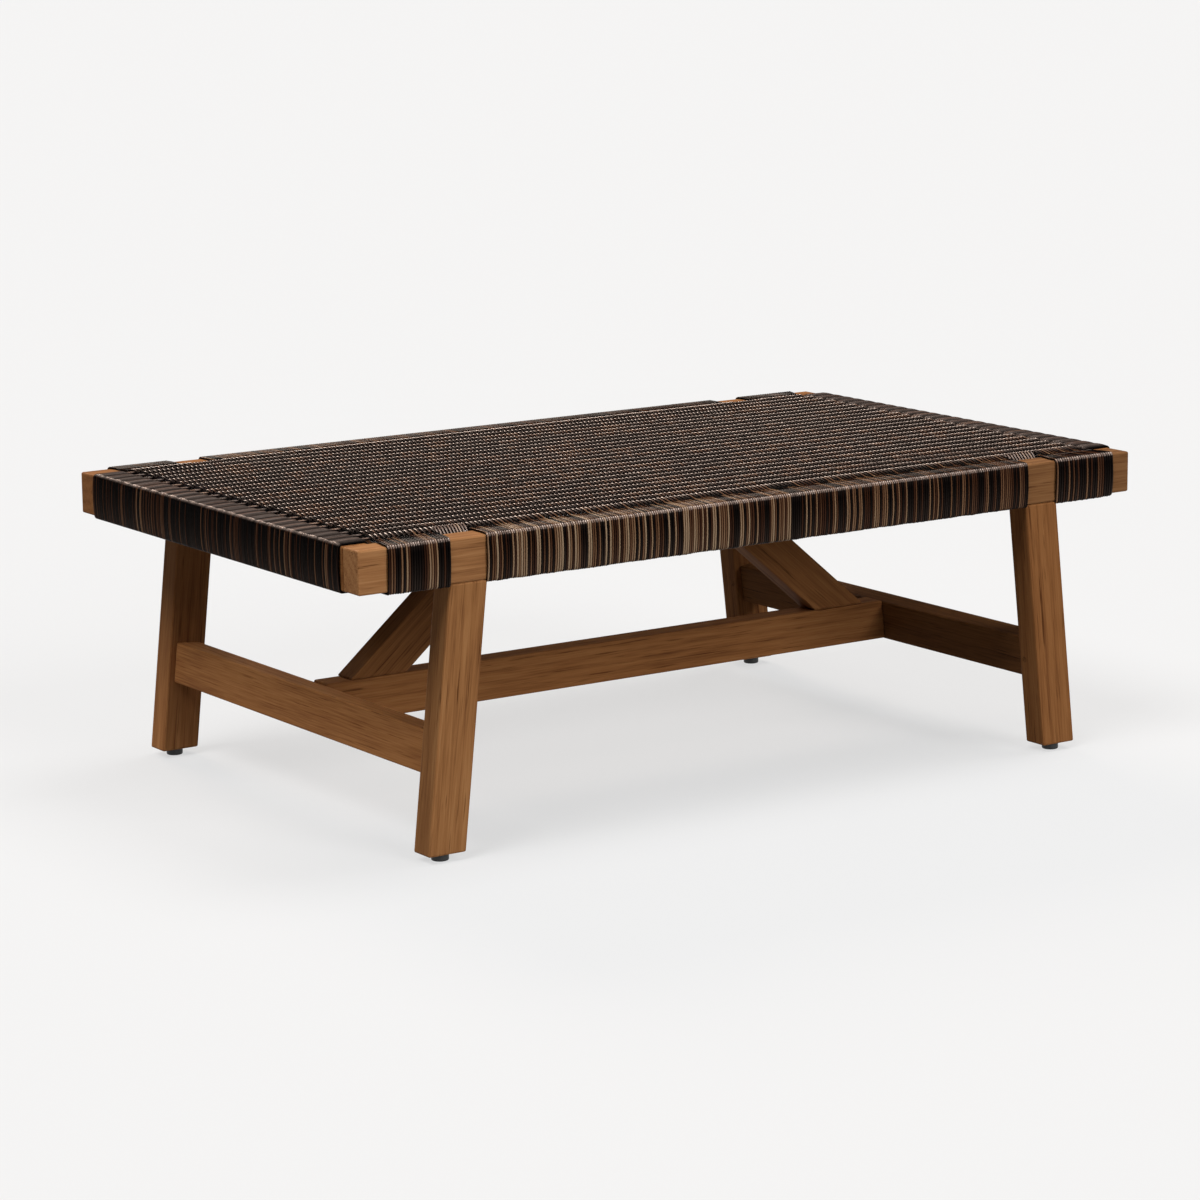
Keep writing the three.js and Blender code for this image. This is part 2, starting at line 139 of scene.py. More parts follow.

# Cord, a glossy round strand. Its tone runs from 0, black, to 1, pale. Wear fades its colour
# and polishes it, and where it is placed it paints highlights. The scales stretch a noise along the
# cord, from cord to cord and around it
cord_stops = (
    (0.00, (0.0012, 0.0009, 0.0009)),
    (0.34, (0.0030, 0.0016, 0.0012)),
    (0.42, (0.0300, 0.0095, 0.0040)),
    (0.58, (0.0470, 0.0185, 0.0085)),
    (0.68, (0.1150, 0.0540, 0.0260)),
    (0.82, (0.1900, 0.1030, 0.0540)),
    (0.93, (0.2600, 0.1650, 0.0950)),
    (1.00, (0.3300, 0.2300, 0.1450)),
)
# The pale colour that wear and painted highlights fade a cord towards, and how far
worn_highlight_colour = (0.42, 0.30, 0.245)
worn_highlight_fade = 0.75
cord_satin = 0.02
cord_polish = 3.2
# Painted shade: the share of its tone that a cord keeps on its flanks, its hidden side and low in the
# weave
cord_painted_shade = 0.06
cord_roughness = (0.15, 0.24)
cord_gleam = (1.0, 0.84, 0.74, 1.0)
gloss_ends = (0.80, 0.94)
even_blend = 0.5
streak_colour = (0.55, 0.5, 0.46)
streak_scales = (24.0, 5.3, 14.0)
streak_most = 0.35
rib_scales = (3.0, 5.3, 16.0)
rib_detail = 1.0
rib_bump = 0.00003
rib_bump_strength = 0.5
number_span = 900.0

# Moulded plastic and turned metal
plastic_colours = ((0.010, 0.010, 0.010), (0.018, 0.018, 0.018))
plastic_roughness = (0.42, 0.58)
plastic_scales = (2600.0, 2600.0, 2600.0)
plastic_bump = 0.00008
plastic_bump_strength = 0.6
steel_colours = ((0.50, 0.50, 0.51), (0.62, 0.62, 0.63))
steel_roughness = (0.25, 0.37)
brass_colours = ((0.55, 0.38, 0.14), (0.68, 0.50, 0.22))
brass_roughness = (0.3, 0.42)
turning_scales = (300.0, 300.0, 6000.0)
turning_bump = 0.00003
turning_bump_strength = 0.5

# Cords of the woven top
cord_diameter = 0.0033
cord_radius = cord_diameter / 2
cord_sides = 6
wrap_sides = 8

# The woven field: rows of two cords along the length, and cross cords over and under them.
# A beat is a ring of a cross cord between two rows, as a share of their pitch. Its height is
# a share of the crest's
row_count = 25
row_margin = 0.0208
row_ring_count = 144
row_wobble = 0.00018
row_wobble_waves = 23.0
row_wobble_phase = 6.28
column_count = 352
cord_piece_count = 4
cord_overlap = 1.06
crest_rise = 0.0036
beat_shares = (0.0, 0.11, 0.24, 0.5, 0.76, 0.89)
height_shares = (1.0, 0.93, 0.60, 0.0, -0.60, -0.93)
lateral_rows = 3.2
shoulder_steps = 3
cross_wander = 0.0005
cross_wander_waves = 31.0
cross_wander_reach = 20.0
stitch_floor_gap = 0.0022
stitch_tail = 0.004
stitch_drop_power = 1.25

# Which cross cords go on around a long rail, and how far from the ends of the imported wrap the
# first and last of them lie: at the outermost row, and on the rail's face
wrap_columns = {"left": (0, 25), "middle": (45, 307), "right": (327, 352)}
crest_shifts = {"left": (0.009, 0.012), "middle": (0.001, 0.006), "right": (0.002, -0.019)}
face_shifts = {"left": (-0.0007, 0.001), "middle": (-0.0038, 0.0023), "right": (-0.0045, -0.0003)}

# Wraps around the rails. Places are distances out from a rail's inner face
rail_ease = 0.0025
corner_radius = rail_ease + cord_radius
corner_steps = 5
face_steps = 7
wrap_bulge = 0.0016
stand_span = (-0.5, 1.0)
long_top_places = (0.0, 0.012, 0.024)
end_top_places = (0.011, 0.020, 0.029)

# How unevenly cords lie around a long rail. Starts, ends and lengths are measured along a cord
top_sway = 0.0022
top_sway_reach = 9.0
top_sway_end = 0.05
own_sway = 0.0004
face_sway = 0.0009
face_sway_reach = 8.0
face_sway_start = 0.04
face_sway_length = 0.07
long_stand = 0.00028
long_stand_length = 0.02
group_sag = 0.0009
group_sag_reach = 6.0
own_sag = 0.0005

# Wraps of the end rails: each row has a group of loops, which forms a lobe on the rail's top.
# The middle pair of a group comes from the weave
end_loops = 8
end_extra = 1
end_start_gap = 0.004
end_stand = 0.00025
end_sway = 0.0005
end_sway_reach = 9.0
end_sway_waves = 50.0
lobe_rise = 0.0019
lobe_outer_share = 0.4
lobe_squeeze = 0.08
lobe_curl = 0.0011
pair_lead = 4 * cord_radius
pair_step = 0.9 * cord_radius

# Tones of the cords. Some paint light and shade: the valleys between an end rail's lobes
# get painted shade, a wrap gets lighter down a rail's face as painted floor light, and the
# front and back wraps get darker to the right, partly their own tone and partly painted
# light falloff
brown_tone = 0.98
run_share = 0.26
run_reach = 4.0
pale_shift = 4.0
row_tone_reach = 0.035
row_tone_fine_reach = 0.012
row_tone_fine_share = 0.45
own_tone_reach = 0.05
own_tone_share = 0.4
row_own_share = 0.3
field_tone_most = 0.93
tone_blend = 0.07
face_pale_share = 0.1
painted_face_light_gain = 0.22
face_tone_and_falloff_slope = -0.6
wrap_tone_shares = {"left": 0.72, "middle": 1.0, "right": 1.1}
back_tone_share = 0.76
end_dark_share = 0.25
end_pale_share = 0.015
end_tone_least = 0.66
end_tone_reach = 9.0
lobe_painted_shade = 0.2

# Wear of the cords, with painted highlights: it fades a cord's colour towards a pale one and
# polishes it, which paints highlights on the crests, the row cords, the stitches and the turns
# over the rails' edges, and a painted sheen on an end rail's top. Down a face it is painted
# floor light. A bend's wear follows part of a half wave, from and to these shares of it,
# raised to a power
row_wear_and_highlight = 0.28
crest_wear_and_highlight = 0.5
crest_wear_and_highlight_least = 0.7
crest_wear_and_highlight_power = 1.5
stitch_wear_and_highlight = 0.44
painted_face_light = 0.12
bend_wear_and_highlight = 1.15
path_wear_and_highlight_least = 0.5
long_bend = (0.1, 0.9, 3)
end_bend = (0.3, 1.0, 6)
end_top_wear_and_sheen = 0.4

# Levelling feet
foot_sides = 64
pad_low_round = 0.0018
pad_high_round = 0.0012
round_steps = 6
thread_pitch = 0.00125
thread_depth = 0.0006
stem_sides = 32
stem_rings_per_pitch = 8

# Directions, and a point far under the table
along_x = np.array((1.0, 0.0, 0.0))
along_y = np.array((0.0, 1.0, 0.0))
far_below = np.array((0.0, 0.0, -10.0))


def shifted_ends(shifts):
    """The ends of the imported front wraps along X, each moved by its shift."""
    ends = {}
    for name, (low_shift, high_shift) in shifts.items():
        low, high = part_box(f"wrap_front_{name}")
        ends[name] = (low.x + low_shift, high.x + high_shift)
    return ends


# Sizes of the top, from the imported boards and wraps
rail_low, rail_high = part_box("rail_front")
end_low, end_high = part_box("rail_right")
bearer_low, bearer_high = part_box("cross_bearer_right")
rail_top = rail_high.z
rail_bottom = rail_low.z
rail_middle = (rail_top + rail_bottom) / 2
rail_outer_y = -rail_low.y
rail_inner_y = -rail_high.y
rail_thickness = rail_outer_y - rail_inner_y
end_outer_x = end_high.x
end_inner_x = end_low.x
end_thickness = end_outer_x - end_inner_x
wrap_crests = shifted_ends(crest_shifts)
wrap_faces = shifted_ends(face_shifts)
weave_level = rail_top + cord_radius
last_row_y = rail_inner_y - row_margin
row_pitch = 2 * last_row_y / (row_count - 1)
lateral_reach = lateral_rows * row_pitch
end_pitch = row_pitch / end_loops
row_places = np.linspace(-1.0, 1.0, row_ring_count) * (end_inner_x - cord_diameter)


# Shading

class Shade:
    """The nodes of a material or of a world, added one call at a time."""

    def __init__(self, owner):
        owner.use_nodes = True
        self.owner = owner
        self.tree = owner.node_tree
        self.tree.nodes.clear()

    def add(self, kind, inputs=(), **settings):
        node = self.tree.nodes.new(kind)
        for key, value in settings.items():
            setattr(node, key, value)
        for key, value in dict(inputs).items():
            if isinstance(value, bpy.types.NodeSocket):
                self.tree.links.new(value, node.inputs[key])
            else:
                node.inputs[key].default_value = value
        return node

    def math(self, operation, *values):
        return self.add("ShaderNodeMath", enumerate(values), operation=operation).outputs[0]

    def vector(self, operation, *values):
        sockets = ("Vector", "Scale") if operation == "SCALE" else (0, 1)
        node = self.add("ShaderNodeVectorMath", zip(sockets, values), operation=operation)
        return node.outputs["Value" if operation in ("DOT_PRODUCT", "LENGTH") else "Vector"]

    def noise(self, place, scales, detail=2.0, roughness=0.5):
        """Smooth noise, with a scale of its own in each direction."""
        stretched = self.vector("MULTIPLY", place, scales)
        inputs = {"Vector": stretched, "Scale": 1.0, "Detail": detail, "Roughness": roughness}
        return self.add("ShaderNodeTexNoise", inputs).outputs["Fac"]

    def ramp(self, factor, stops):
        node = self.add("ShaderNodeValToRGB", {"Fac": factor})
        elements = node.color_ramp.elements
        while len(elements) < len(stops):
            elements.new(1.0)
        for element, (place, colour) in zip(elements, stops):
            element.position = place
            element.color = (*colour, 1.0)
        return node.outputs["Color"]

    def remap(self, value, low, high, to_low, to_high):
        inputs = {"Value": value, "From Min": low, "From Max": high}
        inputs.update({"To Min": to_low, "To Max": to_high})
        return self.add("ShaderNodeMapRange", inputs).outputs["Result"]

    def mix(self, factor, first, second, blend="MIX"):
        node = self.add("ShaderNodeMix", data_type="RGBA", blend_type=blend)
        colours = [socket for socket in node.inputs if socket.type == "RGBA"]
        for socket, value in ((node.inputs[0], factor), (colours[0], first), (colours[1], second)):
            if isinstance(value, bpy.types.NodeSocket):
                self.tree.links.new(value, socket)
            elif socket.type == "RGBA":
                socket.default_value = (*value, 1.0)
            else:
                socket.default_value = value
        return [socket for socket in node.outputs if socket.type == "RGBA"][0]

    def bump(self, height, distance, strength):
        inputs = {"Height": height, "Distance": distance, "Strength": strength}
        return self.add("ShaderNodeBump", inputs).outputs["Normal"]

    def finish(self, surface, output="ShaderNodeOutputMaterial"):
        self.add(output, {"Surface": surface})
        return self.owner

    def principled(self, inputs):
        return self.finish(self.add("ShaderNodeBsdfPrincipled", inputs).outputs[0])


def teak(name, along, across, number, tint=1.0, painted_light_slope=0.0):
    """Oiled teak as a solid, whose grain runs along one direction, so that a board's ends show
    end grain. The number sets where in its log the board was cut."""
    shade = Shade(bpy.data.materials.new(name))
    along = Vector(along).normalized()
    across = Vector(across)
    across = (across - across.dot(along) * along).normalized()
    third = along.cross(across)
    place = shade.add("ShaderNodeTexCoord").outputs["Object"]
    parts = [shade.vector("DOT_PRODUCT", place, tuple(axis)) for axis in (along, across, third)]
    board = shade.add("ShaderNodeCombineXYZ", zip("XYZ", parts)).outputs["Vector"]
    offset = tuple(random.uniform(*log_span, 3))
    board = shade.vector("ADD", board, offset)

    pith_y = offset[1] + pith_aside + pith_aside_step * (number % pith_aside_steps)
    pith_z = offset[2] - pith_below - pith_below_step * (number % pith_below_steps)
    radial = shade.vector("ADD", board, (0.0, -pith_y, -pith_z))
    radius = shade.vector("LENGTH", shade.vector("MULTIPLY", radial, (0.0, 1.0, 1.0)))
    bend = shade.math("MULTIPLY", shade.noise(board, bend_scales), ring_bend)
    rings = shade.math("ADD", shade.math("DIVIDE", radius, ring_pitch), bend)
    ring = shade.math("PINGPONG", rings, 1.0)
    blotch = shade.noise(board, blotch_scales, blotch_detail)
    fibre = shade.noise(board, fibre_scales, fibre_detail, fibre_roughness)
    pores = shade.noise(board, pore_scales, roughness=pore_roughness)
    crowd = shade.noise(board, crowd_scales)

    ringed = shade.math("MULTIPLY", ring, ring_tone)
    blotched = shade.math("MULTIPLY", blotch, blotch_tone)
    fibred = shade.math("MULTIPLY_ADD", fibre, fibre_tone, base_tone)
    tone = shade.math("ADD", shade.math("ADD", ringed, blotched), fibred)
    colour = shade.ramp(tone, [(at, tuple(np.multiply(tint, shown))) for at, shown in teak_stops])
    open_pore = shade.remap(pores, *pore_edge, 0.0, 1.0)
    crowded = shade.remap(crowd, *crowd_edge, crowd_least, 1.0)
    dark = shade.math("MULTIPLY", open_pore, crowded)
    pored = shade.mix(1.0, colour, pore_colour, "MULTIPLY")
    colour = shade.mix(dark, colour, pored)
    # Painted light: lighter or darker along the board by the slope per metre, as light falls off along
    # it
    if painted_light_slope:
        strength = shade.math("MULTIPLY_ADD", parts[0], painted_light_slope, 1.0)
        colour = shade.vector("SCALE", colour, strength)

    relief = shade.math("SUBTRACT", shade.math("MULTIPLY", fibre, fibre_relief), dark)
    return shade.principled({
        "Base Color": colour,
        "Roughness": shade.remap(blotch, *noise_span, *teak_roughness),
        "Specular IOR Level": teak_gloss,
        "Normal": shade.bump(relief, teak_bump, teak_bump_strength),
    })


def cord_material():
    """Cord whose tone, wear with painted highlight, and run (length along, number of the cord, turn
    around) are in the mesh. The tone carries painted shade as well.
    """
    shade = Shade(bpy.data.materials.new("cord"))
    tone = shade.add("ShaderNodeAttribute", attribute_name="tone").outputs["Fac"]
    wear_and_highlight = shade.add("ShaderNodeAttribute", attribute_name="wear_and_highlight").outputs["Fac"]
    run = shade.add("ShaderNodeAttribute", attribute_name="run").outputs["Vector"]
    streak = shade.noise(run, streak_scales)
    rib = shade.noise(run, rib_scales, rib_detail)
    colour = shade.ramp(tone, cord_stops)
    streaked = shade.mix(1.0, colour, streak_colour, "MULTIPLY")
    colour = shade.mix(shade.remap(streak, *noise_span, 0.0, streak_most), colour, streaked)
    # Wear with painted highlight: fades the colour towards the pale worn colour
    colour = shade.mix(shade.math("MULTIPLY", wear_and_highlight, worn_highlight_fade), colour, worn_highlight_colour)
    edge_on = shade.add("ShaderNodeLayerWeight", {"Blend": even_blend}).outputs["Facing"]
    wear_and_highlight_squared = shade.math("MULTIPLY", wear_and_highlight, wear_and_highlight)
    gloss = shade.math("MULTIPLY_ADD", wear_and_highlight_squared, cord_polish, cord_satin)
    gloss = shade.math("MULTIPLY", gloss, shade.remap(edge_on, *gloss_ends, 1.0, 0.0))
    return shade.principled({
        "Base Color": colour,
        "Roughness": shade.remap(streak, *noise_span, *cord_roughness),
        "Specular IOR Level": gloss,
        "Specular Tint": cord_gleam,
        "Normal": shade.bump(rib, rib_bump, rib_bump_strength),
    })


def moulded_plastic():
    shade = Shade(bpy.data.materials.new("black_plastic"))
    grain = shade.noise(shade.add("ShaderNodeTexCoord").outputs["Object"], plastic_scales)
    return shade.principled({
        "Base Color": shade.ramp(grain, tuple(zip(noise_span, plastic_colours))),
        "Roughness": shade.remap(grain, *noise_span, *plastic_roughness),
        "Normal": shade.bump(grain, plastic_bump, plastic_bump_strength),
    })


def turned_metal(name, colours, roughness):
    """Metal with fine lines around the Z axis."""
    shade = Shade(bpy.data.materials.new(name))
    lines = shade.noise(shade.add("ShaderNodeTexCoord").outputs["Object"], turning_scales)
    return shade.principled({
        "Base Color": shade.ramp(lines, tuple(zip(noise_span, colours))),
        "Metallic": 1.0,
        "Roughness": shade.remap(lines, *noise_span, *roughness),
        "Normal": shade.bump(lines, turning_bump, turning_bump_strength),
    })


# Meshes

def mesh_object(name, vertices, faces, material):
    mesh = bpy.data.meshes.new(name)
    mesh.from_pydata(vertices, [], faces)
    mesh.polygons.foreach_set("use_smooth", [True] * len(mesh.polygons))
    return linked_object(name, mesh, material)


def linked_object(name, mesh, material):
    mesh.materials.append(material)
    piece = bpy.data.objects.new(name, mesh)
    bpy.context.scene.collection.objects.link(piece)
    return piece


def tube_faces(cords, rings, sides):
    """The corners of the tubes' walls and of their end caps. A ring's points follow each other."""
    ring = np.arange(sides)
    after = (ring + 1) % sides
    start = (np.arange(cords)[:, None] * rings + np.arange(rings - 1)).reshape(-1, 1) * sides
    beyond = start + sides
    walls = np.stack((start + ring, start + after, beyond + after, beyond + ring), axis=2)
    first = np.arange(cords)[:, None] * rings * sides
    caps = np.concatenate((first + ring[::-1], first + (rings - 1) * sides + ring), axis=0)
    return walls.reshape(-1, walls.shape[2]), caps


def tube_layout(cords, rings, sides):
    """Flat places for the corners of tube_faces: each cord is a strip of its own from 0 to 1."""
    shape = (cords, rings - 1, sides)
    left = np.broadcast_to(np.arange(rings - 1)[:, None] / (rings - 1), shape)
    right = left + 1 / (rings - 1)
    low = np.broadcast_to((np.arange(cords)[:, None, None] + np.arange(sides) / sides) / cords, shape)
    high = low + 1 / (sides * cords)
    walls = np.stack((left, low, left, high, right, high, right, low), axis=3).reshape(-1, 2)
    cap_low = np.repeat(np.tile(np.arange(cords) / cords, 2), sides)
    cap_ends = np.repeat((0.0, 1.0), cords * sides)
    return np.concatenate((walls, np.stack((cap_ends, cap_low), axis=1)))


def tube_mesh(name, points, walls, caps):
    """A mesh with smooth walls and flat caps."""
    mesh = bpy.data.meshes.new(name)
    corners = np.concatenate((walls.ravel(), caps.ravel()))
    sizes = np.repeat((walls.shape[1], caps.shape[1]), (len(walls), len(caps)))
    smooth = np.repeat((True, False), (len(walls), len(caps)))
    mesh.vertices.add(len(points))
    mesh.vertices.foreach_set("co", points.astype(np.float32).ravel())
    mesh.loops.add(len(corners))
    mesh.loops.foreach_set("vertex_index", corners.astype(np.int32))
    mesh.polygons.add(len(sizes))
    mesh.polygons.foreach_set("loop_start", (np.cumsum(sizes) - sizes).astype(np.int32))
    mesh.polygons.foreach_set("loop_total", sizes.astype(np.int32))
    mesh.polygons.foreach_set("use_smooth", smooth)
    mesh.update(calc_edges=True)
    return mesh


def set_points(mesh, name, kind, key, values):
    layer = mesh.attributes.new(name, kind, "POINT")
    layer.data.foreach_set(key, values.astype(np.float32).ravel())


def tubes(name, centres, across, heart, wide, tones, wear_and_highlight, sides, lift=1.0):
    """Many closed tubes as one piece of wicker. centres is (cords, rings, 3), and across is the
    direction in which a tube is as wide as wide says, to each side. The side that faces away from
    the point heart keeps its tone and wear with painted highlight, and the rest gets painted shade:
    darker and without them. With a lift under 1 that side keeps less of them, so low parts of the
    weave get painted shade, and with one under 0 the other side keeps them instead."""
    cords, rings, _ = centres.shape
    wide, tones, wear_and_highlight = (np.broadcast_to(values, (cords, rings)) for values in (wide, tones, wear_and_highlight))
    along = np.gradient(centres, axis=1)
    along /= np.linalg.norm(along, axis=2, keepdims=True)
    side = across - np.sum(along * across, axis=2, keepdims=True) * along
    side /= np.linalg.norm(side, axis=2, keepdims=True)
    up = np.cross(along, side)
    turn = np.arange(sides) * 2 * math.pi / sides
    reach = wide[:, :, None, None] * np.cos(turn)[:, None] * side[:, :, None, :]
    rise = cord_radius * np.sin(turn)[:, None] * up[:, :, None, :]
    points = (centres[:, :, None, :] + reach + rise).reshape(-1, 3)
    mesh = tube_mesh(name, points, *tube_faces(cords, rings, sides))

    steps = np.linalg.norm(np.diff(centres, axis=1), axis=2)
    run = np.concatenate((np.zeros((cords, 1)), np.cumsum(steps, axis=1)), axis=1)[:, :, None]
    number = np.arange(cords)[:, None, None] + random.uniform(0.0, number_span)
    told = np.stack(np.broadcast_arrays(run, number, turn / (2 * math.pi)), axis=3)
    set_points(mesh, "run", "FLOAT_VECTOR", "vector", told)

    # Painted shade: the side towards the heart, the flanks and low parts of the weave get darker, with
    # no wear or highlight
    offset = centres - heart
    offset = offset - (offset @ across)[:, :, None] * across
    outward = np.where(np.sum(up * offset, axis=2) >= 0, 1.0, -1.0) * lift
    unshaded_share = np.clip(outward[:, :, None] * np.sin(turn) / np.sin(turn).max(), 0.0, 1.0)
    tones = tones[:, :, None] * (cord_painted_shade + (1 - cord_painted_shade) * unshaded_share)
    set_points(mesh, "tone", "FLOAT", "value", tones)
    set_points(mesh, "wear_and_highlight", "FLOAT", "value", wear_and_highlight[:, :, None] * unshaded_share ** 2)

    layout = tube_layout(cords, rings, sides)
    mesh.uv_layers.new(name="OFBake").data.foreach_set("uv", layout.astype(np.float32).ravel())
    piece = linked_object(name, mesh, cord)
    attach(piece, "frame")
    return piece


# Random values and tones

def eased(part):
    """A share from 0 to 1 with a gentle start and end."""
    return part * part * (3 - 2 * part)


def mixed(first, second, share):
    return first * (1 - share) + second * share


def smooth_random(count, reach, low=0.0, high=1.0):
    """Random values from low to high that change gently from one to the next over reach of them."""
    knots = random.uniform(0.0, 1.0, int(count / reach) + spare_knots)
    places = np.arange(count) / reach
    base = places.astype(int)
    return low + (high - low) * mixed(knots[base], knots[base + 1], eased(places - base))


def smooth_rows(rows, places, reach):
    """For each row, random values at the places along it, which change gently over reach."""
    shape = (rows + spare_knots, int(np.ptp(places) / reach) + spare_knots)
    knots = random.uniform(0.0, 1.0, shape)[:rows]
    at = (places - places.min()) / reach
    base = at.astype(int)
    return mixed(knots[:, base], knots[:, base + 1], eased(at - base))


def spread_evenly(values):
    """The same order of values, with their sizes spread evenly from 0 to 1."""
    rank = np.empty(values.size)
    rank[np.argsort(values, axis=None)] = (np.arange(values.size) + 0.5) / values.size
    return rank.reshape(values.shape)


def cord_tones(count, dark_share, pale_share):
    """A tone for each cord, from black to brown, with like cords in runs and some pale ones. The
    dark_share is how far below black the darkest would lie."""
    drawn = mixed(random.uniform(0.0, 1.0, count), smooth_random(count, run_reach), run_share)
    tones = (spread_evenly(drawn) * (1 + dark_share) - dark_share) * brown_tone
    pale_count = int(count * pale_share)
    pale = np.linspace(0, count - 1, pale_count + 2)[1:-1]
    pale = pale + random.uniform(-pale_shift, pale_shift, pale_count)
    tones[np.clip(pale, 0, count - 1).astype(int)] = random.uniform(brown_tone, 1.0, pale_count)
    return tones


def woven_row_tones():
    """Tones along each row, in long runs broken by short ones."""
    coarse = smooth_rows(row_count, row_places, row_tone_reach)
    fine = smooth_rows(row_count, row_places, row_tone_fine_reach)
    return spread_evenly(mixed(coarse, fine, row_tone_fine_share))


# Paths around a rail, as (distance out from the rail's inner face, height)

def arc(centre_out, centre_z, radius, start, stop):
    angles = np.linspace(start, stop, corner_steps)
    return [(centre_out + radius * math.cos(a), centre_z + radius * math.sin(a)) for a in angles]


def wrap_line(thickness):
    """A cord's path over a rail's outer top edge, down its face, under it and up inside."""
    top = rail_top - rail_ease
    low = rail_bottom + rail_ease
    out = thickness - rail_ease
    line = arc(out, top, corner_radius, math.pi / 2, 0.0)
    for i in range(1, face_steps):
        part = i / face_steps
        bulge = wrap_bulge * 4 * part * (1 - part)
        line.append((thickness + cord_radius + bulge, top + (low - top) * part))
    line += arc(out, low, corner_radius, 0.0, -math.pi / 2)
    line.append((thickness / 2, rail_bottom - cord_radius))
    line += arc(rail_ease, low, corner_radius, -math.pi / 2, -math.pi)
    line.append((-cord_radius, rail_middle))
    return line


def depth_share(line):
    """How far down the rail each point of a path lies, from 0 at the top to 1 at the bottom."""
    return np.clip((rail_top - line[:, 1]) / (rail_top - rail_bottom), 0.0, 1.0)


def path_wear_and_highlight(line, first, count, on_top, bend_from, bend_to, bend_power):
    """How worn each cord is, with painted light, along its path: on_top before the point first, most
    where it turns over the rail's edge, as a painted highlight, and a little more down the face, as
    painted floor light that grows towards the bottom."""
    # Painted floor light, growing down the face
    wear_and_highlight_squared = depth_share(line) ** 2 * painted_face_light
    wear_and_highlight_squared[:first] = on_top
    phases = math.pi * np.linspace(bend_from, bend_to, corner_steps)
    # Painted highlight in the turn over the rail's edge
    wear_and_highlight_squared[first:first + corner_steps] += np.sin(phases) ** bend_power * bend_wear_and_highlight
    return wear_and_highlight_squared * random.uniform(path_wear_and_highlight_least, 1.0, count)[:, None]


# Cross cords: each runs from the front rail over the field to the back rail

def lane_places():
    """For each cross cord its X in the field, at the outermost row and on a long rail's face, its
    pitch there, and whether it goes on around the rail."""
    number = np.arange(column_count)
    field = (number - (column_count - 1) / 2) * cord_diameter
    edges = [np.ravel(list(ends.values())) for ends in (wrap_columns, wrap_crests)]
    crest = np.interp(number + 0.5, *edges)
    face = np.array(crest)
    pitch = np.full(column_count, cord_diameter)
    wrapped = np.zeros(column_count, bool)
    for name, (first, last) in wrap_columns.items():
        low, high = wrap_faces[name]
        count = last - first
        face[first:last] = low + (np.arange(count) + 0.5) * (high - low) / count
        pitch[first:last] = (high - low) / count
        wrapped[first:last] = True
    return field, crest, face, pitch, wrapped


def field_line():
    """A cross cord over the rows, as (y, share of the crest's height): over one and under the next."""
    line = []
    for row in range(row_count - 1):
        sign = 1 if row % 2 == 0 else -1
        for beat, height in zip(beat_shares, height_shares):
            line.append((-last_row_y + (row + beat) * row_pitch, sign * height))
    line.append((last_row_y, 1 if row_count % 2 else -1))
    return np.array(line)


def cross_cords():
    """Centre lines of the cross cords from the front rail's inner edge to the back rail's."""
    shares = np.arange(1, shoulder_steps + 1) / (shoulder_steps + 1)
    rows = field_line()
    front_y = -(last_row_y + row_margin * shares[::-1])
    y = np.concatenate(([-rail_inner_y], front_y, rows[:, 0], -front_y[::-1], [rail_inner_y]))
    fade = (1 + np.cos(math.pi * np.append(shares, 1.0))) / 2
    heights = np.concatenate((fade[::-1], rows[:, 1], fade))
    z = weave_level + crest_rise * starts_over[:, None] * heights
    near = eased(np.clip((np.abs(y) - (last_row_y - lateral_reach)) / lateral_reach, 0.0, 1.0))
    beyond = np.clip((np.abs(y) - last_row_y) / (rail_outer_y - last_row_y), 0.0, 1.0)
    x = field_x[:, None] + near * (crest_x - field_x)[:, None]
    x = x + beyond * (face_x - crest_x)[:, None]
    phase = smooth_random(column_count, cross_wander_reach, 0.0, 2 * math.pi)[:, None]
    x = x + cross_wander * np.sin(y * cross_wander_waves + phase)
    return np.stack(np.broadcast_arrays(x, y, z), axis=2)


def drop_stitches(centres):
    """Lets the cords beside a bare stretch of rail drop behind it from the outermost row."""
    loose = ~is_wrapped
    floor_z = bearer_high.z + stitch_floor_gap
    inner = rail_inner_y - cord_radius
    last = shoulder_steps + 1
    for face, ends in ((-1, centres), (1, centres[:, ::-1])):
        crest_z = ends[loose, last, 2]
        for i in range(1, last):
            part = i / shoulder_steps
            drop = (crest_z - floor_z - stitch_tail) * part ** stitch_drop_power
            ends[loose, last - i, 1] = face * (last_row_y + (inner - last_row_y) * part)
            ends[loose, last - i, 2] = crest_z - drop
        ends[loose, 0, 1] = face * inner
        ends[loose, 0, 2] = floor_z


def field_tones(x, y):
    """Tones of the cross cords: mostly that of the row they cross, and near a rail their wrap's."""
    row = np.clip(np.round((y + last_row_y) / row_pitch), 0, row_count - 1).astype(int)
    own = smooth_rows(column_count, y[0], own_tone_reach)
    along_row = np.empty(x.shape)
    for i in range(row_count):
        chosen = row == i
        along_row[chosen] = np.interp(x[chosen], row_places, row_tones[i])
    tones = spread_evenly(mixed(along_row, own, own_tone_share)) * field_tone_most
    for face, wrap_tones in face_tones.items():
        share = np.clip((face * y - (rail_inner_y - tone_blend)) / tone_blend, 0.0, 1.0)
        tones = mixed(tones, wrap_tones[:, None], share)
    return tones


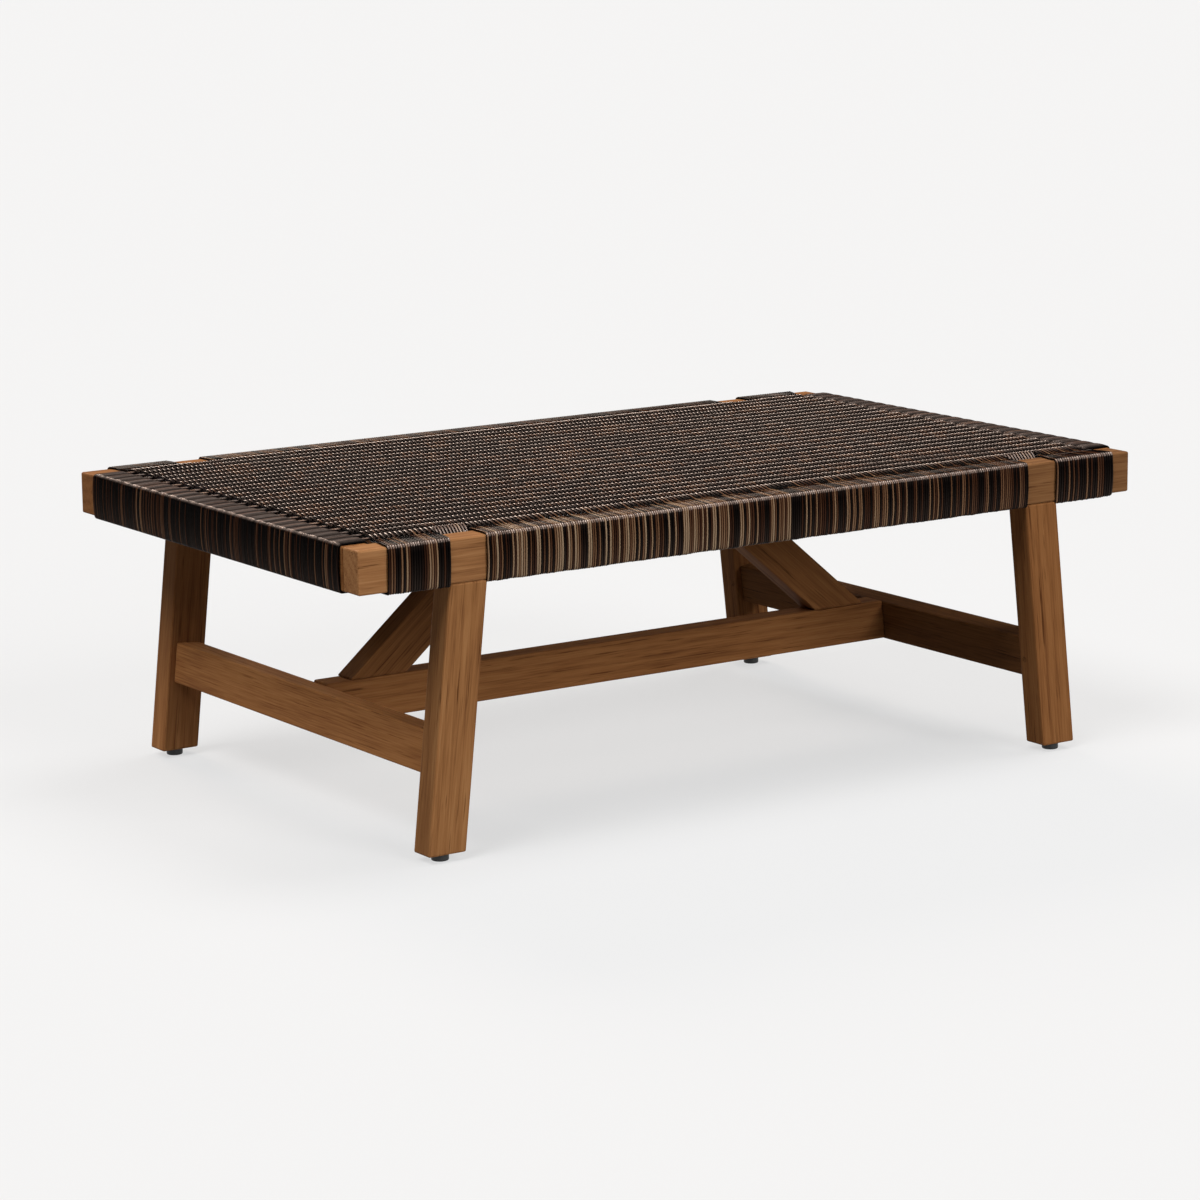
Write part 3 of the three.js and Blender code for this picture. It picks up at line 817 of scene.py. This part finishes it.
def weave_field():
    centres = cross_cords()
    drop_stitches(centres)
    x, y, z = np.moveaxis(centres, 2, 0)
    tones = field_tones(x, y)
    # Wear with painted highlight on the crests, and painted shade where a cord lies low in the weave
    lift = (z - weave_level) / crest_rise
    crest_wear_and_highlight_amount = random.uniform(crest_wear_and_highlight_least, 1.0, (column_count, 1)) * crest_wear_and_highlight
    wear_and_highlight = np.clip(np.abs(lift), 0.0, 1.0) ** crest_wear_and_highlight_power * crest_wear_and_highlight_amount
    beyond = np.clip((np.abs(y) - last_row_y) / row_margin, 0.0, 1.0)
    stitched = ~is_wrapped[:, None] & (beyond > 0.0)
    lift = np.where(stitched, starts_over[:, None], mixed(lift, 1.0, beyond))
    # The stitches get a painted highlight
    wear_and_highlight = np.where(stitched, stitch_wear_and_highlight, wear_and_highlight)
    wide = np.maximum(cord_diameter, np.gradient(x, axis=0)) * cord_overlap / 2
    wide = np.where(stitched, cord_radius, wide)
    bounds = np.linspace(0, column_count, cord_piece_count + 1).astype(int)
    for i in range(cord_piece_count):
        part = slice(bounds[i], bounds[i + 1])
        piece = tubes(f"cross_cords_{i + 1}", centres[part], along_x, far_below, wide[part],
                      tones[part], wear_and_highlight[part], cord_sides, lift[part])
        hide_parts("woven_top")


def long_rail_wraps(face, face_name):
    """Continues cross cords over a long rail: across its top, down its face, under and up inside."""
    top = [(place, weave_level) for place in long_top_places]
    line = np.array(top + wrap_line(rail_thickness))
    out, height = line.T
    steps = np.concatenate(([0.0], np.cumsum(np.hypot(*np.diff(line, axis=0).T))))
    start = row_margin / (rail_outer_y - last_row_y)
    beyond = np.clip(start + (1 - start) * out / rail_thickness, 0.0, 1.0)
    beyond[len(top) + corner_steps - 1:] = 1.0
    on_top = np.sin(math.pi * np.clip(steps / top_sway_end, 0.0, 1.0)) ** 2
    on_face = np.clip((steps - face_sway_start) / face_sway_length, 0.0, 1.0)
    on_face = np.sin(math.pi * on_face) ** 2
    outside = np.clip(steps / long_stand_length, 0.0, 1.0) * (out > rail_thickness)
    under = height < rail_bottom + corner_radius
    heart = np.array((0.0, face * (rail_inner_y + rail_outer_y) / 2, rail_middle))
    for name, (first, last) in wrap_columns.items():
        count = last - first
        crest = crest_x[first:last, None]
        ends = face_x[first:last, None]
        sway = smooth_random(count, top_sway_reach, -1.0, 1.0) * top_sway
        sway = sway + random.uniform(-1.0, 1.0, count) * own_sway
        lean = smooth_random(count, face_sway_reach, -1.0, 1.0) * face_sway
        stand = random.uniform(*stand_span, count) * long_stand
        sag = smooth_random(count, group_sag_reach) * group_sag
        sag = sag + random.uniform(0.0, own_sag, count)
        x = crest + beyond * (ends - crest) + sway[:, None] * on_top + lean[:, None] * on_face
        y = rail_inner_y + out + stand[:, None] * outside
        z = height - sag[:, None] * under
        centres = np.stack((x, face * y, z), axis=2)
        pitch = cord_diameter + beyond * (face_pitch[first:last, None] - cord_diameter)
        # Painted floor light: lighter towards the bottom of the face
        tones = face_tones[face][first:last, None] * (1 + depth_share(line) * painted_face_light_gain)
        # Darker to the right: partly the cords' own tone, partly painted light falloff
        tones = tones * (1 + face_tone_and_falloff_slope * ends) * wrap_tone_shares[name]
        wear_and_highlight = path_wear_and_highlight(line, len(top), count, 0.0, *long_bend)
        piece = tubes(f"wrap_cords_{face_name}_{name}", centres, along_x, heart, pitch / 2, tones,
                      wear_and_highlight, wrap_sides)
        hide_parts(f"wrap_{face_name}_{name}")


# Row cords, in pairs along the length, and the cords around the end rails

def row_cords():
    rows = (np.arange(row_count) - (row_count - 1) / 2) * row_pitch
    y = np.sort(np.concatenate((rows - cord_radius, rows + cord_radius)))[:, None]
    phase = random.uniform(0.0, row_wobble_phase, y.shape)
    y = y + row_wobble * np.sin(row_places * row_wobble_waves + phase)
    centres = np.stack(np.broadcast_arrays(row_places, y, weave_level), axis=2)
    own = smooth_rows(len(y), row_places, own_tone_reach)
    tones = mixed(np.repeat(row_tones, 2, axis=0), own, row_own_share)
    # The row cords get a painted highlight along their tops
    piece = tubes("row_cords", centres, along_y, far_below, cord_radius, tones, row_wear_and_highlight, cord_sides)
    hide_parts("woven_top")


def end_rail_wraps(side, name):
    """Cords laid side by side around an end rail, with a group of them for each row."""
    total = row_count * end_loops + 2 * end_extra
    number = np.arange(total) - end_extra
    group = np.clip(number // end_loops, 0, row_count - 1)
    aside = number - group * end_loops - (end_loops - 1) / 2
    pair = np.abs(aside) < 1
    row_y = (group - (row_count - 1) / 2) * row_pitch
    crest = 1 - (2 * aside / end_loops)[:, None] ** 2

    start = [(-cord_radius, rail_middle + end_start_gap)]
    start += arc(rail_ease, rail_top - rail_ease, corner_radius, math.pi, math.pi / 2)
    top = [(place, weave_level) for place in end_top_places]
    line = np.array(start + top + wrap_line(end_thickness))
    out, height = line.T
    inward = np.clip(1 - out / (end_thickness - rail_ease), 0.0, 1.0)
    on_top = np.clip((height - (rail_top - rail_ease)) / corner_radius, 0.0, 1.0)
    rise = (lobe_outer_share + (1 - lobe_outer_share) * np.sqrt(inward)) * on_top
    curl = lobe_curl * np.sin(math.pi * np.clip(out / end_thickness, 0.0, 1.0)) * on_top
    x = np.tile(end_inner_x + out, (total, 1))
    y = row_y[:, None] + aside[:, None] * end_pitch * (1 - lobe_squeeze * rise) + curl * crest
    z = height + lobe_rise * rise * crest
    x[pair, :corner_steps] = end_inner_x - pair_lead + np.arange(corner_steps) * pair_step
    z[pair, :corner_steps] = weave_level
    stand = random.uniform(*stand_span, total)[:, None] * end_stand
    x = x + stand * (out > end_thickness)
    sway = smooth_random(total, end_sway_reach, -1.0, 1.0)[:, None] * end_sway
    y = y + sway * np.sin((rail_top - z) * end_sway_waves) * (1 - on_top)
    centres = np.stack((side * x, y, z), axis=2)

    band = smooth_random(total, end_tone_reach) ** 2
    band = end_tone_least + (1 - end_tone_least) * band
    tones = cord_tones(total, end_dark_share, end_pale_share) * band
    # Painted shade: darker, with less highlight, in the valleys between the lobes
    valley_painted_shade = 1 - (1 - lobe_painted_shade) * on_top * (1 - crest)
    # Painted floor light: lighter towards the bottom of the face
    tones = tones[:, None] * (1 + depth_share(line) * painted_face_light_gain) * valley_painted_shade
    # A painted sheen on the rail's top and a painted highlight in the turn over its outer edge
    wear_and_highlight = path_wear_and_highlight(line, len(start + top), total, end_top_wear_and_sheen, *end_bend) * valley_painted_shade
    heart = np.array((side * (end_inner_x + end_outer_x) / 2, 0.0, rail_middle))
    piece = tubes(f"wrap_cords_{name}", centres, along_y, heart, end_pitch / 2, tones, wear_and_highlight,
                  wrap_sides)
    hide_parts(f"wrap_{name}")


# Levelling feet, with fine rounds, and stems with a cut thread

def level_ring(centre, height, radii):
    """Points around a centre at one height, each at its own radius."""
    turns = [2 * math.pi * i / len(radii) for i in range(len(radii))]
    return [(centre.x + radius * math.cos(turn), centre.y + radius * math.sin(turn), height)
            for radius, turn in zip(radii, turns)]


def ringed_object(name, rings, material):
    """A closed piece through rings of points, from the lowest up."""
    sides = len(rings[0])
    points = [point for ring in rings for point in ring]
    faces = []
    for start in range(0, len(points) - sides, sides):
        for i in range(sides):
            k = (i + 1) % sides
            faces.append((start + i, start + k, start + sides + k, start + sides + i))
    faces.append(tuple(range(sides - 1, -1, -1)))
    faces.append(tuple(range(len(points) - sides, len(points))))
    return mesh_object(name, points, faces, material)


def rounded_profile(radius, low, high):
    """A pad's outline with rounded edges, as (radius, height), from its underside up."""
    profile = []
    quarter = [math.pi / 2 * i / round_steps for i in range(round_steps + 1)]
    for turn in quarter:
        reach = radius - pad_low_round + pad_low_round * math.sin(turn)
        profile.append((reach, low + pad_low_round - pad_low_round * math.cos(turn)))
    for turn in quarter:
        reach = radius - pad_high_round + pad_high_round * math.cos(turn)
        profile.append((reach, high - pad_high_round + pad_high_round * math.sin(turn)))
    return profile


def foot_pad(corner):
    low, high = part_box(f"foot_pad_{corner}")
    centre = (low + high) / 2
    profile = rounded_profile((high.x - low.x) / 2, low.z, high.z)
    rings = [level_ring(centre, height, [radius] * foot_sides) for radius, height in profile]
    pad = ringed_object(f"pad_{corner}", rings, plastic)
    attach(pad, f"foot_{corner}")
    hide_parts(f"foot_pad_{corner}")


def foot_stem(corner):
    """A stem whose groove winds up by one pitch in each turn."""
    low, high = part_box(f"foot_stem_{corner}")
    centre = (low + high) / 2
    radius = (high.x - low.x) / 2
    height = high.z - low.z
    count = int(height / thread_pitch * stem_rings_per_pitch)
    rings = []
    for j in range(count + 1):
        z = low.z + height * j / count
        shares = [(z / thread_pitch - i / stem_sides) % 1.0 for i in range(stem_sides)]
        radii = [radius - thread_depth * abs(2 * share - 1) for share in shares]
        rings.append(level_ring(centre, z, radii))
    stem = ringed_object(f"stem_{corner}", rings, steel)
    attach(stem, f"foot_{corner}")
    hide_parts(f"foot_stem_{corner}")


# Boards: each packed board keeps its shape and gets teak with the grain along it

def dress(node, material):
    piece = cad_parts[node]
    piece.data.materials.clear()
    piece.data.materials.append(material)


def board_directions():
    """Each board's direction, along which its grain runs."""
    leg_low, leg_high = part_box("leg_front_right")
    lean = (leg_high.x - leg_low.x) - (bearer_high.x - bearer_low.x)
    splay = math.atan2(lean, rail_bottom - leg_low.z)
    long_boards = ("rail_front", "rail_back", "centre_beam", "stretcher_long")
    boards = {node: (1, 0, 0) for node in long_boards}
    for end, side in (("left", -1), ("right", 1)):
        for kind in ("rail", "cross_bearer", "stretcher"):
            boards[f"{kind}_{end}"] = (0, 1, 0)
        boards[f"brace_{end}"] = (-side * math.cos(brace_rise), 0, math.sin(brace_rise))
        for face in ("front", "back"):
            boards[f"leg_{face}_{end}"] = (-side * math.sin(splay), 0, math.cos(splay))
    return boards


def dress_boards():
    boards = board_directions()
    for number, (node, along) in enumerate(boards.items(), 1):
        across = (1, 0, 0) if along == (0, 1, 0) else (0, 1, 0)
        random_tint = random.uniform(*tint_span)
        tint, slope = board_tints_and_painted_light.get(node, (random_tint, 0.0))
        dress(node, teak(f"teak_{node}", along, across, number, tint, slope))
    for end in ("left", "right"):
        for face in ("front", "back"):
            corner = f"{face}_{end}"
            upright = teak(f"peg_teak_r_{corner}", (0, 0, 1), (1, 0, 0), len(boards), peg_tint)
            dress(f"rail_peg_{corner}", upright)
            level = teak(f"peg_teak_s_{corner}", (1, 0, 0), (0, 1, 0), len(boards), peg_tint)
            dress(f"stretcher_peg_{corner}", level)


# Floor, light and camera

def backdrop_rays(shade):
    """The kinds of ray, and 1 for those that show floor and backdrop as a plain pale ground: from
    the camera, in gloss and through glass. The others light the table."""
    rays = shade.add("ShaderNodeLightPath").outputs
    seen = shade.math("MAXIMUM", rays["Is Camera Ray"], rays["Is Glossy Ray"])
    return rays, shade.math("MAXIMUM", seen, rays["Is Transmission Ray"])


def floor():
    half = floor_size / 2
    corners = [(-half, -half, 0), (half, -half, 0), (half, half, 0), (-half, half, 0)]
    shade = Shade(bpy.data.materials.new("floor"))
    _, seen = backdrop_rays(shade)
    grey = (floor_grey, floor_grey, floor_grey, 1.0)
    lit = shade.add("ShaderNodeBsdfDiffuse", {"Color": grey}).outputs[0]
    strength = shade.math("MULTIPLY", seen, floor_glow)
    glow = shade.add("ShaderNodeEmission", {"Strength": strength}).outputs[0]
    surface = shade.add("ShaderNodeAddShader", ((0, lit), (1, glow))).outputs[0]
    mesh_object("floor", corners, [(0, 1, 2, 3)], shade.finish(surface))


def sky():
    """A dome that lights the table from overhead and is dim at the horizon. Gloss shows the backdrop
    low down and a dark ceiling above it, and the camera would see the backdrop alone."""
    shade = Shade(bpy.data.worlds.new("studio"))
    place = shade.add("ShaderNodeTexCoord").outputs["Generated"]
    height = shade.add("ShaderNodeSeparateXYZ", {0: place}).outputs["Z"]
    rays, seen = backdrop_rays(shade)
    dome = shade.remap(height, 0.0, 1.0, sky_horizon, sky_top)
    ceiling = shade.remap(height, ceiling_starts, ceiling_ends, backdrop_grey, ceiling_grey)
    lighter = shade.math("SUBTRACT", backdrop_grey, ceiling)
    wall = shade.math("ADD", ceiling, shade.math("MULTIPLY", rays["Is Camera Ray"], lighter))
    lighting = shade.math("MULTIPLY", dome, shade.math("SUBTRACT", 1.0, seen))
    strength = shade.math("ADD", lighting, shade.math("MULTIPLY", seen, wall))
    background = shade.add("ShaderNodeBackground", {"Strength": strength}).outputs[0]
    bpy.context.scene.world = shade.finish(background, "ShaderNodeOutputWorld")


def lamp(name, strength, spread, source):
    light = bpy.data.lights.new(name, "SUN")
    light.energy = strength
    light.color = lamp_colours.get(name, lamp_white)
    light.angle = spread
    holder = bpy.data.objects.new(name, light)
    holder.rotation_euler = source.to_track_quat("Z", "Y").to_euler()
    bpy.context.scene.collection.objects.link(holder)


def camera():
    lens = bpy.data.cameras.new("camera")
    lens.lens = camera_lens_mm
    lens.sensor_width = camera_sensor_mm
    lens.clip_end = floor_size
    holder = bpy.data.objects.new("camera", lens)
    turn = Matrix.Rotation(-camera_yaw, 4, "Z")
    turn = turn @ Matrix.Rotation(math.pi / 2 - camera_pitch, 4, "X")
    turn = turn @ Matrix.Rotation(camera_roll, 4, "Z")
    holder.matrix_world = Matrix.Translation(camera_place) @ turn
    bpy.context.scene.collection.objects.link(holder)
    bpy.context.scene.camera = holder


# What the cords share. starts_over is 1 for the cross cords that pass over the front row and -1
# for those that pass under it. face_tones holds the wraps' tones at the front, -1, and back, 1
field_x, crest_x, face_x, face_pitch, is_wrapped = lane_places()
starts_over = np.where(np.arange(column_count) % 2 == 0, 1.0, -1.0)
face_tones = {face: cord_tones(column_count, 0.0, face_pale_share) for face in (-1, 1)}
face_tones[1] *= back_tone_share
row_tones = woven_row_tones()
cord = cord_material()

# The scene
camera()
floor()
sky()
for lamp_name, (lamp_strength, lamp_spread, lamp_source) in lamps.items():
    lamp(lamp_name, lamp_strength, lamp_spread, lamp_source)
bpy.context.scene.view_settings.view_transform = "Standard"

# The table
dress_boards()
weave_field()
row_cords()
for face, face_name in ((-1, "front"), (1, "back")):
    long_rail_wraps(face, face_name)
for side, side_name in ((-1, "left"), (1, "right")):
    end_rail_wraps(side, side_name)

plastic = moulded_plastic()
steel = turned_metal("steel", steel_colours, steel_roughness)
brass = turned_metal("brass", brass_colours, brass_roughness)
for end in ("left", "right"):
    for face in ("front", "back"):
        foot_pad(f"{face}_{end}")
        foot_stem(f"{face}_{end}")
        dress(f"foot_insert_{face}_{end}", brass)
